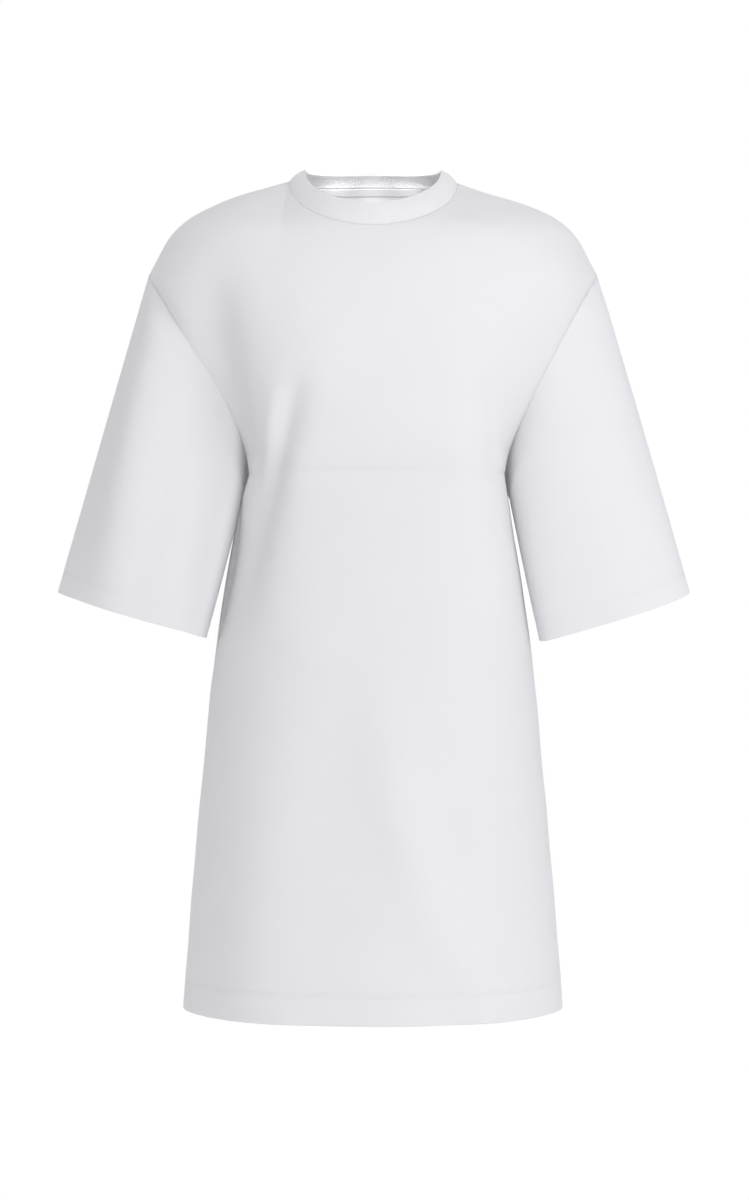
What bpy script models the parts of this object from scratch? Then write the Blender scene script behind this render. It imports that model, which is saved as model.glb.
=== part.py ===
"""A T-shirt dress in heavy cotton jersey, filled out as it is worn.

It has a crew neck with a doubled rib collar, dropped shoulders, wide elbow-length sleeves and a skirt
that widens gently to a hem above the knee. Metres, +Z up. The front faces -Y and +X is the wearer's
left. The origin is the middle of the neck opening, level with the collar's edge at the sides, where
the wearer's neck and shoulders hold the dress.

Each body panel is a sheet of columns and rows laid on level sections of the dress. The armhole edges
of the two panels give the ring that the sleeves start from, and their neck edges give the collar's.
"""

import math
from collections import namedtuple

import bmesh
import bpy
from mathutils import Vector

# Cloth
JERSEY = 0.0012  # one layer
RIB_DOUBLED = 0.0024  # the collar's rib, folded along its free edge
TAPE_CLOTH = 0.0010
SEAM_GAP = 0.0003
HEM_TURN_UP = 0.030
CUFF_TURN_UP = 0.022
TURN_UP_STEP = 0.0015  # how far the doubled cloth takes to thin to one layer

# Levels below the origin and distances out from the middle
HEM_LEVEL = -0.858
UNDERARM_LEVEL = -0.312
UNDERARM_OUT = 0.135
DROP_LEVEL = -0.107  # top of the armhole seam, on the upper arm
DROP_OUT = 0.231
NECK_SIDE_LEVEL = -0.010
NECK_OUT = 0.0865
NECK_FRONT_DROP = 0.0544  # of the collar seam, from the side of the neck to the middle of the front
NECK_BACK_RISE = 0.006

# Armhole and sleeves
ARMHOLE_HALF_DEPTH = 0.062  # half the ring's size from front to back
ARMHOLE_CURVE = 1.3  # 1 is a straight seam as seen from the front
CUFF_MIDDLE = Vector((0.2485, 0, -0.4544))
CUFF_TO_OUTSIDE = Vector((0.0760, 0, 0.0226))
CUFF_HALF_DEPTH = 0.066
SLEEVE_FULLNESS = 0.009  # how far it swells to the front and back between armhole and cuff
LEFT, RIGHT = 1, -1
CUFF_FRONT_DIP = {LEFT: 0.006, RIGHT: 0.001}  # how far the cuff hangs lower in front

# Collar, from its seam to its free edge
COLLAR_EDGE_OUT = 0.0700
COLLAR_EDGE_FRONT = 0.0775
COLLAR_EDGE_BACK = 0.0600
COLLAR_EDGE_LEVEL = 0.0005
COLLAR_EDGE_FRONT_DROP = 0.0405
COLLAR_EDGE_BACK_RISE = 0.006
COLLAR_BOW = 0.0015  # how far the band bows out between its two edges
COLLAR_SEAM_GAP = 0.00045  # more than elsewhere, because its thicker rim leans over the panels' edges

# Tape that covers the collar seam inside the back of the neck
TAPE_START = 0.0010
TAPE_WIDTH = 0.011

# How finely the cloth is divided
NECK_COLUMNS = 6  # from the middle of a panel to the side of the neck
SIDE_COLUMNS = 6  # from there to the side seam
SKIRT_ROWS = 14
SKIRT_ROW_GRADING = 1.6  # over 1, the rows lie closer together towards the underarm
YOKE_ROWS = 14  # from the underarm to the top edge
SLEEVE_ROWS = 8
COLLAR_ROWS = 3
HALF_COLUMNS = NECK_COLUMNS + SIDE_COLUMNS
SHARP_ANGLE = math.radians(50)  # the rims stay crisp and the folds soft
FRONT, BACK = -1, 1

SideRow = namedtuple("SideRow", "level out")
SIDE_LINE = (
    SideRow(-0.858, 0.1950),
    SideRow(-0.730, 0.1850),
    SideRow(-0.600, 0.1730),
    SideRow(-0.520, 0.1655),
    SideRow(-0.430, 0.1535),
    SideRow(-0.370, 0.1430),
    SideRow(UNDERARM_LEVEL, UNDERARM_OUT),
)
SHOULDER_LINE = (
    SideRow(DROP_LEVEL, DROP_OUT),
    SideRow(-0.090, 0.2220),
    SideRow(-0.068, 0.2095),
    SideRow(-0.051, 0.1925),
    SideRow(-0.033, 0.1580),
    SideRow(NECK_SIDE_LEVEL, NECK_OUT),
    SideRow(-0.003, 0.0660),
)

DepthRow = namedtuple("DepthRow", "level depth")
MIDDLE_DEPTH = {
    FRONT: (
        DepthRow(-0.858, 0.148),
        DepthRow(-0.680, 0.134),
        DepthRow(-0.520, 0.123),
        DepthRow(-0.400, 0.120),
        DepthRow(-0.270, 0.126),
        DepthRow(-0.180, 0.122),
        DepthRow(-0.107, 0.110),
        DepthRow(-0.065, 0.090),
        DepthRow(-0.050, 0.070),
        DepthRow(-0.030, 0.038),
        DepthRow(NECK_SIDE_LEVEL, 0.000),
    ),
    BACK: (
        DepthRow(-0.858, 0.142),
        DepthRow(-0.700, 0.132),
        DepthRow(-0.560, 0.118),
        DepthRow(-0.420, 0.104),
        DepthRow(-0.300, 0.106),
        DepthRow(-0.180, 0.116),
        DepthRow(-0.107, 0.115),
        DepthRow(-0.050, 0.104),
        DepthRow(-0.030, 0.098),
        DepthRow(NECK_SIDE_LEVEL, 0.086),
        DepthRow(-0.003, 0.073),
    ),
}

# How each level section runs from its middle to its edge. The spread is the half width of the broad
# curve across the panel. Within the turn's width of the edge the cloth turns towards it: late if
# squareness is large, and square to the edge if closing is well under 1, but softly if it is 1.
SectionRow = namedtuple("SectionRow", "level spread turn squareness closing")
SECTIONS = (
    SectionRow(-0.858, 0.300, 0.190, 2.2, 0.46),
    SectionRow(-0.600, 0.260, 0.155, 2.2, 0.40),
    SectionRow(-0.420, 0.240, 0.110, 2.2, 0.26),
    SectionRow(-0.350, 0.232, 0.082, 2.2, 0.22),
    SectionRow(UNDERARM_LEVEL, 0.230, 0.064, 2.2, 0.21),
    SectionRow(-0.285, 0.230, 0.064, 2.2, 0.60),
    SectionRow(-0.245, 0.235, 0.088, 2.2, 0.88),
    SectionRow(-0.190, 0.250, 0.108, 2.3, 0.85),
    SectionRow(-0.140, 0.280, 0.150, 2.2, 0.52),
    SectionRow(DROP_LEVEL, 0.300, 0.165, 2.4, 0.52),
    SectionRow(-0.070, 0.320, 0.170, 2.4, 0.48),
    SectionRow(-0.003, 0.330, 0.170, 2.4, 0.42),
)
SPREAD_POWER = 2.2

# The largest folds: long soft hollows (less than 0) and swells, each along a straight line
Fold = namedtuple("Fold", "panel start_out start_level end_out end_level height half_width")
FOLDS = (
    Fold(FRONT, 0.150, -0.170, 0.118, -0.370, -0.003, 0.030),
    Fold(FRONT, -0.150, -0.160, -0.125, -0.400, -0.006, 0.030),
    Fold(FRONT, -0.075, -0.270, -0.130, -0.430, -0.003, 0.020),
    Fold(FRONT, 0.075, -0.560, 0.115, -0.858, 0.004, 0.045),
    Fold(FRONT, 0.030, -0.600, 0.050, -0.858, -0.004, 0.035),
    Fold(FRONT, -0.110, -0.600, -0.130, -0.858, 0.004, 0.045),
    Fold(BACK, 0.145, -0.180, 0.115, -0.390, -0.005, 0.034),
    Fold(BACK, -0.145, -0.170, -0.118, -0.370, -0.004, 0.034),
    Fold(BACK, 0.060, -0.480, 0.095, -0.858, 0.005, 0.045),
    Fold(BACK, -0.045, -0.500, -0.070, -0.858, 0.005, 0.045),
    Fold(BACK, 0.005, -0.560, 0.010, -0.858, -0.004, 0.040),
)
EDGE_CALM = 0.020  # folds die out over this distance from the armhole and neck seams

Finish = namedtuple("Finish", "colour roughness")
JERSEY_FINISH = Finish((0.86, 0.87, 0.89, 1.0), 0.90)
RIB_FINISH = Finish((0.84, 0.85, 0.88, 1.0), 0.92)
TAPE_FINISH = Finish((0.88, 0.89, 0.90, 1.0), 0.85)
HALVINGS = 40  # in a search along a curve


def curve_through(rows, place, value, at):
    """The value at one place of a smooth curve through a table's rows, which may go up or down."""
    rows = sorted(rows, key=lambda row: getattr(row, place))
    places = [getattr(row, place) for row in rows]
    values = [getattr(row, value) for row in rows]
    grades = [
        (values[i + 1] - values[i]) / (places[i + 1] - places[i]) for i in range(len(rows) - 1)
    ]
    slopes = [grades[0]]
    for before, after in zip(grades, grades[1:]):
        # Level at each peak and hollow, so that the curve goes past none of the rows' values.
        slopes.append(2 * before * after / (before + after) if before * after > 0 else 0)
    slopes.append(grades[-1])
    at = min(max(at, places[0]), places[-1])
    i = max(k for k in range(len(rows) - 1) if places[k] <= at)
    length = places[i + 1] - places[i]
    t = (at - places[i]) / length
    return (
        values[i] * (1 + 2 * t) * (1 - t) ** 2
        + slopes[i] * length * t * (1 - t) ** 2
        + values[i + 1] * t * t * (3 - 2 * t)
        + slopes[i + 1] * length * t * t * (t - 1)
    )


def middle_depth(panel, level):
    return curve_through(MIDDLE_DEPTH[panel], "level", "depth", level)


def shoulder_level(out):
    """The shoulder line's level at a distance out, found by halving."""
    low, high = DROP_LEVEL, SHOULDER_LINE[-1].level
    for _ in range(HALVINGS):
        middle = (low + high) / 2
        if curve_through(SHOULDER_LINE, "level", "out", middle) > out:
            low = middle
        else:
            high = middle
    return (low + high) / 2


def armhole_rise(level):
    """0 at the underarm and 1 at the top of the armhole."""
    return (level - UNDERARM_LEVEL) / (DROP_LEVEL - UNDERARM_LEVEL)


def armhole_out(level):
    return UNDERARM_OUT + (DROP_OUT - UNDERARM_OUT) * armhole_rise(level) ** ARMHOLE_CURVE


def armhole_depth(level):
    return ARMHOLE_HALF_DEPTH * math.sqrt(max(0, 1 - (2 * armhole_rise(level) - 1) ** 2))


def edge_of_section(level):
    """How far out and how deep the panel's edge lies: side seam, armhole or shoulder seam."""
    if level >= DROP_LEVEL:
        return curve_through(SHOULDER_LINE, "level", "out", level), 0
    if level <= UNDERARM_LEVEL:
        return curve_through(SIDE_LINE, "level", "out", level), 0
    return armhole_out(level), armhole_depth(level)


def on_panel(panel, out, level):
    """The point of a panel's outer face at a distance out and a level."""
    edge_out, edge_depth = edge_of_section(level)
    spread, turn, squareness, closing = (
        curve_through(SECTIONS, "level", value, level)
        for value in ("spread", "turn", "squareness", "closing")
    )
    broad = (1 - (abs(out) / spread) ** SPREAD_POWER) ** (1 / SPREAD_POWER)
    turn = min(turn, edge_out)
    share = min(1, max(0, (abs(out) - edge_out + turn) / turn))
    towards_edge = (1 - share**squareness) ** closing
    depth = edge_depth + (middle_depth(panel, level) * broad - edge_depth) * towards_edge
    return Vector((out, panel * (depth + SEAM_GAP / 2), level))


def neck_level(panel, out):
    """The level of the collar seam."""
    curve = math.sqrt(max(0, 1 - (out / NECK_OUT) ** 2))
    if panel == FRONT:
        return NECK_SIDE_LEVEL - NECK_FRONT_DROP * curve
    return NECK_SIDE_LEVEL + NECK_BACK_RISE * curve**2


def top_angle(column):
    """A column's place along the panel's top edge, as the angle whose sine is its share of the width."""
    neck_angle = math.asin(NECK_OUT / DROP_OUT)
    if column <= NECK_COLUMNS:
        return math.asin(NECK_OUT / DROP_OUT * math.sin(math.pi / 2 * column / NECK_COLUMNS))
    return neck_angle + (math.pi / 2 - neck_angle) * (column - NECK_COLUMNS) / SIDE_COLUMNS


def panel_rows():
    """Each row's level below the underarm, and its share of the way from there to the top edge."""
    turn_up = HEM_LEVEL + HEM_TURN_UP
    start = turn_up + TURN_UP_STEP
    rows = [(HEM_LEVEL, 0), (turn_up, 0)]
    for i in range(SKIRT_ROWS + 1):
        still_to_go = (1 - i / SKIRT_ROWS) ** SKIRT_ROW_GRADING
        rows.append((UNDERARM_LEVEL + (start - UNDERARM_LEVEL) * still_to_go, 0))
    for i in range(1, YOKE_ROWS + 1):
        rows.append((UNDERARM_LEVEL, (1 - math.cos(math.pi * i / YOKE_ROWS)) / 2))
    return rows


def panel_point(panel, column, level, rise):
    """A panel's point. Columns count from the middle and are less than 0 on the -X side."""
    hand = -1 if column < 0 else 1
    column = abs(column)
    even = math.pi / 2 * column / HALF_COLUMNS
    top = top_angle(column)
    edge_level = level + (DROP_LEVEL - level) * rise
    edge_out, _ = edge_of_section(edge_level)
    out = edge_out * math.sin(even + (top - even) * rise)
    top_out = DROP_OUT * math.sin(top)
    top_level = neck_level(panel, top_out) if column < NECK_COLUMNS else shoulder_level(top_out)
    return on_panel(panel, hand * out, level + (top_level - level) * rise)


def fold_height(panel, point):
    """How far the folds move a panel's point out along its normal."""
    height = 0
    for fold in FOLDS:
        if fold.panel != panel:
            continue
        start = Vector((fold.start_out, fold.start_level))
        run = Vector((fold.end_out, fold.end_level)) - start
        offset = Vector((point.x, point.z)) - start
        along = offset.dot(run) / run.length_squared
        across = abs(offset.cross(run)) / run.length
        past = max(0, -along, along - 1) * run.length
        height += fold.height * math.exp(-((across**2 + past**2) / fold.half_width**2))
    return height * (1 - math.exp(-((edge_distance(panel, point) / EDGE_CALM) ** 2)))


def edge_distance(panel, point):
    """Roughly how far a point is from the panel's armhole and neck edges, as seen from the front."""
    to_neck = abs(neck_level(panel, min(abs(point.x), NECK_OUT)) - point.z)
    if point.z < UNDERARM_LEVEL:
        to_armhole = math.hypot(UNDERARM_OUT - abs(point.x), UNDERARM_LEVEL - point.z)
    elif point.z < DROP_LEVEL:
        to_armhole = armhole_out(point.z) - abs(point.x)
    else:
        to_armhole = DROP_OUT - abs(point.x)
    return max(0, min(to_neck, to_armhole))


class Cloth:
    """A piece in the making: a sheet whose points know the number of their column and row."""

    def __init__(self, columns, rows):
        self.sheet = bmesh.new()
        bmesh.ops.create_grid(self.sheet, x_segments=columns, y_segments=rows, size=1)
        layers = self.sheet.verts.layers
        for name in ("column", "row"):
            layers.int.new(name)
        layers.float_vector.new("way_in")
        self.column, self.row = layers.int["column"], layers.int["row"]
        self.way_in = layers.float_vector["way_in"]
        for vert in self.sheet.verts:
            vert[self.column] = round((vert.co.x + 1) / 2 * columns)
            vert[self.row] = round((vert.co.y + 1) / 2 * rows)

    def lay(self, place):
        """Puts each point at the place of its column and row."""
        for vert in self.sheet.verts:
            vert.co = place(vert[self.column], vert[self.row])
        self.sheet.normal_update()

    def push(self, height):
        """Moves each point out along its normal."""
        moves = [vert.normal * height(vert.co) for vert in self.sheet.verts]
        for vert, move in zip(self.sheet.verts, moves):
            vert.co += move
        self.sheet.normal_update()

    def join_tube(self):
        """Joins the first column of a rolled sheet to its last."""
        bmesh.ops.remove_doubles(self.sheet, verts=self.sheet.verts, dist=JERSEY / 100)
        self.sheet.normal_update()

    def finish(self, name, thickness, finish, edge_in_seam_plane=lambda column, row: False):
        """Makes the object, with its wall inwards from the outer face.

        The inner face is extruded here and not made by Solidify, so that where two panels meet in
        the middle plane of the dress, their rims lie in that plane.
        """
        for vert in self.sheet.verts:
            column, row = vert[self.column], vert[self.row]
            normal = vert.normal.copy()
            if edge_in_seam_plane(column, row):
                normal.y = 0
            vert[self.way_in] = -thickness(row) * normal.normalized()
        outer = self.sheet.faces[:]
        made = bmesh.ops.extrude_face_region(self.sheet, geom=outer, use_keep_orig=True)
        for vert in made["geom"]:
            if isinstance(vert, bmesh.types.BMVert):
                vert.co += vert[self.way_in]
        bmesh.ops.recalc_face_normals(self.sheet, faces=self.sheet.faces)
        mesh = bpy.data.meshes.new(name)
        self.sheet.to_mesh(mesh)
        self.sheet.free()
        mesh.materials.append(paint(name, finish))
        mesh.shade_smooth()
        mesh.set_sharp_from_angle(angle=SHARP_ANGLE)
        return bpy.data.objects.new(name, mesh)


def turned_up(row):
    """The jersey's thickness at a row. The two rows below a hem's stitching have it doubled."""
    return 2 * JERSEY if row <= 1 else JERSEY


def paint(name, finish):
    material = bpy.data.materials.new(name)
    material.use_nodes = True
    shader = material.node_tree.nodes["Principled BSDF"]
    shader.inputs["Base Color"].default_value = finish.colour
    shader.inputs["Roughness"].default_value = finish.roughness
    shader.inputs["Metallic"].default_value = 0.0
    material.diffuse_color = finish.colour
    return material


def make_panel(name, panel):
    rows = panel_rows()
    last_row = len(rows) - 1
    cloth = Cloth(2 * HALF_COLUMNS, last_row)

    def place(column, row):
        # The back's columns run the other way, so that its faces point backwards.
        return panel_point(panel, -panel * (column - HALF_COLUMNS), *rows[row])

    def on_side_or_shoulder_seam(column, row):
        from_middle = abs(column - HALF_COLUMNS)
        return from_middle == HALF_COLUMNS or (row == last_row and from_middle >= NECK_COLUMNS)

    cloth.lay(place)
    cloth.push(lambda point: fold_height(panel, point))
    return cloth.finish(name, turned_up, JERSEY_FINISH, on_side_or_shoulder_seam)


def armhole_ring(hand):
    """The ring that a sleeve starts from: up the back from the underarm, and down the front."""
    rows = panel_rows()[-YOKE_ROWS - 1 :]
    points = []
    for panel, part in ((BACK, rows), (FRONT, rows[-2:0:-1])):
        for level, rise in part:
            edge = panel_point(panel, hand * HALF_COLUMNS, level, rise)
            inner = panel_point(panel, hand * (HALF_COLUMNS - 1), level, rise)
            onward = (edge - inner).normalized()
            if rise == 0:
                # The two panels meet here, so the sleeve leaves them upwards.
                onward = Vector((0, 0, 1))
                edge.y = 0
            points.append(edge + SEAM_GAP * (onward + Vector((hand, 0, 0))))
    return points


def sleeve_point(hand, ring, number, share):
    """A sleeve's point. The share runs from 0 at the armhole to 1 at the cuff."""
    angle = 2 * math.pi * number / (2 * YOKE_ROWS)
    to_back = Vector((0, CUFF_HALF_DEPTH, CUFF_FRONT_DIP[hand]))
    cuff = CUFF_MIDDLE - CUFF_TO_OUTSIDE * math.cos(angle) + to_back * math.sin(angle)
    cuff.x *= hand
    point = ring[number].lerp(cuff, share)
    point.y += SLEEVE_FULLNESS * math.sin(angle) * math.sin(math.pi * share)
    return point


def make_sleeve(name, hand):
    ring = armhole_ring(hand)
    length = (CUFF_MIDDLE + CUFF_TO_OUTSIDE - Vector((DROP_OUT, 0, DROP_LEVEL))).length
    turn_up = 1 - CUFF_TURN_UP / length
    single = turn_up - TURN_UP_STEP / length
    shares = [1, turn_up] + [single * (1 - i / SLEEVE_ROWS) for i in range(SLEEVE_ROWS + 1)]
    cloth = Cloth(len(ring), len(shares) - 1)

    def place(column, row):
        # The sheet is rolled so that its outer face stays outside on either arm.
        return sleeve_point(hand, ring, -hand * column % len(ring), shares[row])

    cloth.lay(place)
    cloth.join_tube()
    return cloth.finish(name, turned_up, JERSEY_FINISH)


def collar_ring():
    """The panels' neck edges, round from the middle of the back, with each point's angle."""
    turns = 4 * NECK_COLUMNS
    points = []
    for number in range(turns):
        angle = 2 * math.pi * number / turns
        panel = BACK if math.cos(angle) > 0 else FRONT
        out = NECK_OUT * math.sin(angle)
        point = on_panel(panel, out, neck_level(panel, abs(out)))
        if number % (2 * NECK_COLUMNS) == NECK_COLUMNS:
            point.y = 0  # the shoulder seam
        points.append((angle, point))
    return points


def collar_edge(angle):
    back = max(0, math.cos(angle))
    front = max(0, -math.cos(angle))
    return Vector(
        (
            COLLAR_EDGE_OUT * math.sin(angle),
            COLLAR_EDGE_BACK * back - COLLAR_EDGE_FRONT * front,
            COLLAR_EDGE_LEVEL + COLLAR_EDGE_BACK_RISE * back**2 - COLLAR_EDGE_FRONT_DROP * front,
        )
    )


def make_collar(name):
    ring = collar_ring()
    cloth = Cloth(len(ring), COLLAR_ROWS)

    def place(column, row):
        angle, seam = ring[-column % len(ring)]
        edge = collar_edge(angle)
        seam = seam + (edge - seam).normalized() * COLLAR_SEAM_GAP
        share = row / COLLAR_ROWS
        bow = Vector((math.sin(angle), math.cos(angle), 1)).normalized()
        return seam.lerp(edge, share) + bow * COLLAR_BOW * math.sin(math.pi * share)

    cloth.lay(place)
    cloth.join_tube()
    return cloth.finish(name, lambda row: RIB_DOUBLED, RIB_FINISH)


def make_neck_tape(name):
    """A strip on the inner face of the back panel, just under the collar seam."""
    cloth = Cloth(2 * NECK_COLUMNS, 1)

    def place(column, row):
        out = -NECK_OUT * math.sin(math.pi / 2 * (column / NECK_COLUMNS - 1))
        level = neck_level(BACK, abs(out))
        seam = on_panel(BACK, out, level)
        down = (on_panel(BACK, out, level - TAPE_WIDTH) - seam).normalized()
        return seam + down * (TAPE_START + TAPE_WIDTH * (1 - row))

    cloth.lay(place)
    cloth.push(lambda point: -(JERSEY + 2 * SEAM_GAP))
    return cloth.finish(name, lambda row: TAPE_CLOTH, TAPE_FINISH)


def make_dress():
    dress = bpy.data.collections.new("TShirtDress")
    bpy.context.scene.collection.children.link(dress)
    pieces = (
        make_panel("front_panel", FRONT),
        make_panel("back_panel", BACK),
        make_sleeve("left_sleeve", LEFT),
        make_sleeve("right_sleeve", RIGHT),
        make_collar("rib_collar"),
        make_neck_tape("neck_tape"),
    )
    for piece in pieces:
        dress.objects.link(piece)


for old in list(bpy.data.objects):
    bpy.data.objects.remove(old, do_unlink=True)
make_dress()
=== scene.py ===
import math

import bmesh
import bpy
import numpy as np
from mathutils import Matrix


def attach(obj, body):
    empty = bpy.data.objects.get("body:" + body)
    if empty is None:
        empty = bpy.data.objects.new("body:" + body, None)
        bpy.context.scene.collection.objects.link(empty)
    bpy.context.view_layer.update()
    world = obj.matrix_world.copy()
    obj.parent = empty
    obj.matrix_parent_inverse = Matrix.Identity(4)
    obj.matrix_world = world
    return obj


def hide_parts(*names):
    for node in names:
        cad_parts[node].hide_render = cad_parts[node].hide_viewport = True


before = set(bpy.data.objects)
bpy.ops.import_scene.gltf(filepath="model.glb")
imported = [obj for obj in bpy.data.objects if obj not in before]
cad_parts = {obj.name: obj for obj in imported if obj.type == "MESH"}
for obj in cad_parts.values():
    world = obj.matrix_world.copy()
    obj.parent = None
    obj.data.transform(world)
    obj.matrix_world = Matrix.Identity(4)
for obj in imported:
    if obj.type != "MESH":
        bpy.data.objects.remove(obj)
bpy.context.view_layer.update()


# ---- Studio -------------------------------------------------------------------------------------
# The dress hangs as if someone wore it, in front of plain white paper and over a pale floor. White walls
# light it from all round, soft lamps stand at its left-hand side, before it and behind it, and small
# ones light the inside of the back neck.

CAMERA_PLACE = (0.0015, -3.0, -0.44)
CAMERA_LENS = 87.4
CAMERA_SENSOR = 36.0
FLOOR_LEVEL = -1.42
FLOOR_SIZE = 2.4
FLOOR_COLOUR = (0.9, 0.9, 0.9)
FLOOR_ROUGHNESS = 0.8
WALL_LIGHT = (0.965, 0.972, 1.0)
WALL_STRENGTH = 0.67
PAPER_WHITE = (1.0, 1.0, 1.0)

camera_data = bpy.data.cameras.new("camera")
camera_data.lens = CAMERA_LENS
camera_data.sensor_width = CAMERA_SENSOR
camera = bpy.data.objects.new("camera", camera_data)
camera.location = CAMERA_PLACE
camera.rotation_euler = (math.radians(90), 0, 0)
bpy.context.scene.collection.objects.link(camera)
bpy.context.scene.camera = camera
bpy.context.scene.view_settings.view_transform = "Standard"

# Soft lamps: name, place, the point that it is turned to, width, height, watts
LAMPS = (
    ("side_lamp", (1.65, -1.60, 0.10), (0.0, 0.0, -0.30), 1.2, 1.0, 14.0),
    ("high_lamp", (0.0, -2.60, 1.80), (0.0, 0.0, -0.25), 1.6, 1.6, 8.0),
    ("front_lamp", (0.16, -1.79, 0.25), (0.0, 0.0, -0.25), 1.6, 0.5, 7.5),
    ("back_lamp", (-1.50, 2.10, 0.50), (0.0, 0.0, -0.35), 1.2, 1.0, 9.0),
)
LAMP_COLOUR = (0.97, 0.975, 1.0)
# Small lamps for the inside of the back neck: name, place, the point that it is turned to, angle, watts
NECK_LAMPS = (
    ("left_neck_lamp", (0.24, -0.58, 0.46), (-0.050, 0.056, -0.001), 7.0, 17.0),
    ("right_neck_lamp", (-0.24, -0.58, 0.46), (0.050, 0.056, -0.001), 7.0, 21.0),
    ("left_tape_lamp", (0.20, -0.90, 0.09), (-0.040, 0.076, -0.013), 2.8, 30.0),
    ("middle_tape_lamp", (0.0, -0.92, 0.09), (0.0, 0.080, -0.014), 2.8, 30.0),
    ("right_tape_lamp", (-0.20, -0.90, 0.09), (0.040, 0.076, -0.013), 2.8, 30.0),
)
NECK_LAMP_SIZE = 0.01
NECK_LAMP_SOFTNESS = 1.0  # of the edge of its light


def aim(lamp, place, target):
    """Puts a lamp in its place and turns it to a point."""
    lamp.location = place
    way = lamp.location.copy()
    way.x -= target[0]
    way.y -= target[1]
    way.z -= target[2]
    lamp.rotation_euler = way.to_track_quat("Z", "Y").to_euler()
    bpy.context.scene.collection.objects.link(lamp)


for lamp_name, place, target, width, height, watts in LAMPS:
    lamp_data = bpy.data.lights.new(lamp_name, "AREA")
    lamp_data.shape = "RECTANGLE"
    lamp_data.size = width
    lamp_data.size_y = height
    lamp_data.energy = watts
    lamp_data.color = LAMP_COLOUR
    aim(bpy.data.objects.new(lamp_name, lamp_data), place, target)
for lamp_name, place, target, angle, watts in NECK_LAMPS:
    lamp_data = bpy.data.lights.new(lamp_name, "SPOT")
    lamp_data.spot_size = math.radians(angle)
    lamp_data.spot_blend = NECK_LAMP_SOFTNESS
    lamp_data.shadow_soft_size = NECK_LAMP_SIZE
    lamp_data.energy = watts
    aim(bpy.data.objects.new(lamp_name, lamp_data), place, target)


def add_node(tree, kind, settings=None, inputs=None):
    """Adds a node to a tree: its settings first, and then the values or the links of its sockets."""
    made = tree.nodes.new(kind)
    for name, setting in (settings or {}).items():
        setattr(made, name, setting)
    for name, given in (inputs or {}).items():
        if isinstance(given, bpy.types.NodeSocket):
            tree.links.new(given, made.inputs[name])
        else:
            made.inputs[name].default_value = given
    return made.outputs


studio = bpy.data.worlds.new("white_walls")
studio.use_nodes = True
tree = studio.node_tree
wall_light = {"Color": (*WALL_LIGHT, 1), "Strength": WALL_STRENGTH}
walls = add_node(tree, "ShaderNodeBackground", inputs=wall_light)
paper = add_node(tree, "ShaderNodeBackground", inputs={"Color": (*PAPER_WHITE, 1)})
seen = add_node(tree, "ShaderNodeLightPath")
either = add_node(
    tree,
    "ShaderNodeMixShader",
    inputs={"Fac": seen["Is Camera Ray"], 1: walls["Background"], 2: paper["Background"]},
)
tree.links.new(either["Shader"], tree.nodes["World Output"].inputs["Surface"])
bpy.context.scene.world = studio

floor_mesh = bpy.data.meshes.new("floor")
floor_half = FLOOR_SIZE / 2
floor_sides = ((-1, -1), (1, -1), (1, 1), (-1, 1))
floor_corners = [(floor_half * right, floor_half * back, FLOOR_LEVEL) for right, back in floor_sides]
floor_mesh.from_pydata(floor_corners, [], [(0, 1, 2, 3)])
floor_paint = bpy.data.materials.new("pale_floor")
floor_paint.use_nodes = True
floor_shader = floor_paint.node_tree.nodes["Principled BSDF"]
floor_shader.inputs["Base Color"].default_value = (*FLOOR_COLOUR, 1)
floor_shader.inputs["Roughness"].default_value = FLOOR_ROUGHNESS
floor_mesh.materials.append(floor_paint)
floor = bpy.data.objects.new("floor", floor_mesh)
bpy.context.scene.collection.objects.link(floor)


# ---- Front and back panels ----------------------------------------------------------------------
# Two panels of heavy cotton jersey, each cut in one with its dropped shoulders, and joined at the sides
# and shoulders. The bottom 3 cm is turned up inside as the hem and held by a twin needle's two rows.

FRONT, BACK = -1, 1
LEFT, RIGHT = 1, -1
JERSEY = 0.0012  # thickness of the cloth
PANEL_GAP = 0.0001  # between the two panels' rims
HEM_LEVEL = -0.858
HEM_TURN_UP = 0.030
UNDERARM_LEVEL = -0.312
UNDERARM_OUT = 0.135
DROP_LEVEL = -0.107  # top of the armhole seam
DROP_OUT = 0.231
NECK_SIDE_LEVEL = -0.010
NECK_OUT = 0.0865
NECK_FRONT_DROP = 0.0544
NECK_BACK_RISE = 0.006
ARMHOLE_HALF_DEPTH = 0.062
ARMHOLE_CURVE = 1.3  # above 1, the armhole scoops in before it runs out to its top
FULLNESS_POWER = 2.2  # squareness of the broad curve from side to side
EDGE_SOFTNESS = 0.35  # how far the armhole's two ends are rounded off away from the seam
EDGE_SOFT_WIDTH = 0.050
UNDERARM_BLEND = 0.070  # height over which the cloth runs past the armhole's lower end
DROP_BLEND = 0.050  # and past its upper end
BLEND_SHARE = 0.35  # how much of a place's room up to the nearest seam its depth is evened out over
BLEND_ROOM = 0.080  # the most that counts as room
BLEND_STEPS = 9
SIDE_ROOM = 4  # below the underarm, the room is at most this many times the way to the side seam

# Side seam: level, distance out
SIDE_LINE = (
    (-0.858, 0.1950),
    (-0.730, 0.1850),
    (-0.600, 0.1730),
    (-0.520, 0.1655),
    (-0.430, 0.1535),
    (-0.370, 0.1430),
    (UNDERARM_LEVEL, UNDERARM_OUT),
)
# Shoulder seam: level, distance out
SHOULDER_LINE = (
    (DROP_LEVEL, DROP_OUT),
    (-0.090, 0.2220),
    (-0.068, 0.2095),
    (-0.051, 0.1925),
    (-0.033, 0.1580),
    (NECK_SIDE_LEVEL, NECK_OUT),
    (-0.003, 0.0660),
)
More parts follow.
